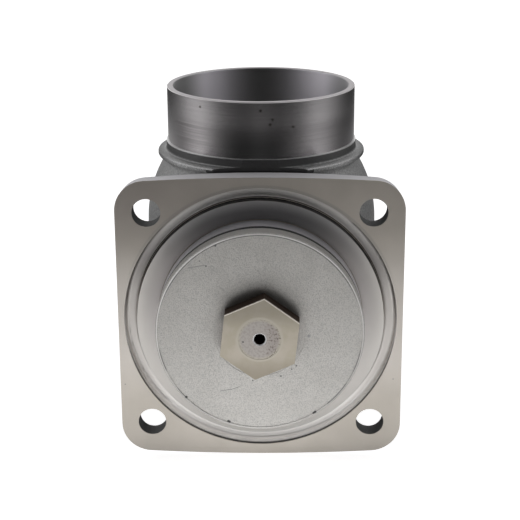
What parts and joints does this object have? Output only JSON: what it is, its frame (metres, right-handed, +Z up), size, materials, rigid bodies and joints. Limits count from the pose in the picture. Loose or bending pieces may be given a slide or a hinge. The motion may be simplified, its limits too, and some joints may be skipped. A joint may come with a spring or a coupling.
{
  "type": "air compressor intake valve",
  "caption": "Air compressor intake valve: cast aluminium elbow with a bolt-on square flange, a machined neck on top and a sprung disc valve that an air piston pushes open.",
  "frame": {"origin": "centre of the flange's mounting face, on the valve axis", "axes": "+X to the right as seen facing the flange, +Y along the valve axis from the mounting face into the valve, +Z up the neck"},
  "size_m": [0.1406, 0.2089, 0.1791],
  "materials": {
    "cast_aluminium": "cast and blasted, machined on the mounting face, the nozzle and the neck",
    "blasted_aluminium": "fine blasted, a little grainy",
    "turned_aluminium": "turned",
    "seal_rubber": "matt black",
    "stainless_sheet": "turned sheet",
    "zinc_steel": "zinc plated",
    "nickelled_steel": "turned and nickel plated, slightly warm",
    "ground_steel": "ground",
    "bronze": "turned bronze",
    "spring_steel": "dark spring steel",
    "guide_plastic": "matt brown"
  },
  "bodies": {
    "valve_body": {"housing": "cast_aluminium", "actuator_body": "cast_aluminium", "pilot_o_ring": "seal_rubber", "front_guide_bush": "bronze", "rear_guide_bush": "bronze", "stem_wiper": "seal_rubber", "stem_seal": "seal_rubber", "wiper_circlip": "spring_steel", "spring_seat_ring": "zinc_steel", "return_spring": "spring_steel", "stop_ring": "seal_rubber", "cylinder_cover": "cast_aluminium", "cover_o_ring": "seal_rubber", "cover_bolts": "zinc_steel", "cover_washers": "zinc_steel"},
    "poppet": {"valve_disc": "blasted_aluminium", "disc_seal": "seal_rubber", "seal_plate": "stainless_sheet", "plate_screws": "zinc_steel", "bleed_bolt": "nickelled_steel", "stem": "ground_steel", "piston": "turned_aluminium", "piston_seal": "seal_rubber", "piston_guide_ring": "guide_plastic", "piston_o_ring": "seal_rubber", "piston_washer": "zinc_steel", "piston_nut": "zinc_steel"}
  },
  "joints": [
    {"name": "valve_stroke", "type": "slide", "parent": "valve_body", "child": "poppet", "axis": [0, -1, 0], "range_m": [0, 0.018], "stiffness_N_per_m": 4000, "springref_m": -0.02, "deforming": ["return_spring"]}
  ]
}
